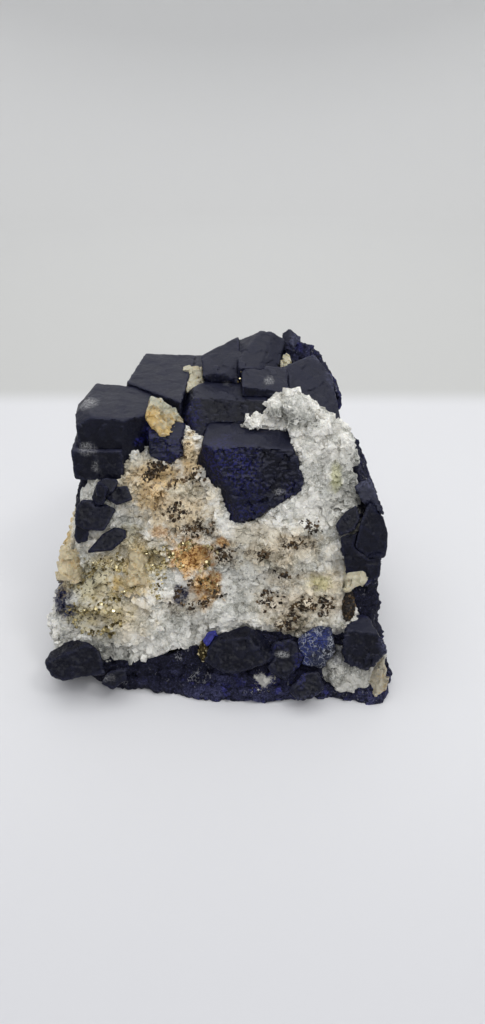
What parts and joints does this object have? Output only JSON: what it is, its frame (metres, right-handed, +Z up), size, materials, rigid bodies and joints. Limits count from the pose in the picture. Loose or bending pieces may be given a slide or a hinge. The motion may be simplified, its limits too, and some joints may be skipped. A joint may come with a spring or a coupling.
{
  "type": "lazurite mineral specimen",
  "caption": "Hand-sized mineral specimen: blocky blue-black lazurite crystals and small pyrite patches in a sloping block of white calcite backed by massive blue rock.",
  "frame": {"origin": "centre of the bounding box, on the flat underside", "axes": "+Z up, -Y the display side with the white slope, +X to the right seen from the display side"},
  "size_m": [0.1214, 0.1058, 0.1021],
  "materials": {
    "lazurite": "satin blue-black crystal faces with fine etching",
    "lazurite_rock": "matt granular dark blue rock",
    "calcite": "sugary white cleavage grains with rust and grey stains",
    "honey_calcite": "waxy cream to honey",
    "pyrite": "small metallic grains, partly rusted brown"
  },
  "bodies": {
    "root": {"main_crystal": "lazurite", "upper_left_crystal": "lazurite", "side_crystal": "lazurite", "small_upper_crystal": "lazurite", "top_left_crystal": "lazurite", "top_middle_crystal": "lazurite", "ridge_crystal": "lazurite", "low_plate_crystal": "lazurite", "right_shoulder_crystal": "lazurite", "peak_crystal": "lazurite", "cluster_crystals": "lazurite", "left_plate_crystals": "lazurite", "leaf_crystal": "lazurite", "right_inner_crystal": "lazurite", "right_block_crystal": "lazurite", "right_lower_crystal": "lazurite", "right_upper_crystal": "lazurite", "corner_crystal": "lazurite", "bottom_crystal": "lazurite", "blue_nub": "lazurite", "lower_middle_crystal": "lazurite", "azure_crystal": "lazurite", "bottom_edge_crystal": "lazurite", "left_foot_crystal": "lazurite", "small_foot_crystal": "lazurite", "back_left_crystal": "lazurite", "back_right_crystal": "lazurite", "back_low_crystal": "lazurite", "left_flank_crystal": "lazurite", "right_flank_crystal": "lazurite", "honey_wedge": "honey_calcite", "cream_wedge": "honey_calcite", "cream_fleck": "honey_calcite", "cream_nugget": "honey_calcite", "amber_corner": "honey_calcite", "tan_shoulder": "honey_calcite", "amber_column": "honey_calcite", "pyrite_seam": "pyrite", "pyrite_upper_left": "pyrite", "pyrite_lower_left": "pyrite", "pyrite_spot": "pyrite", "pyrite_rust": "pyrite", "pyrite_middle": "pyrite", "pyrite_strip": "pyrite", "pyrite_tuft": "pyrite", "calcite_matrix": "calcite", "corner_calcite": "calcite", "lazurite_rind": "lazurite_rock"}
  },
  "joints": []
}
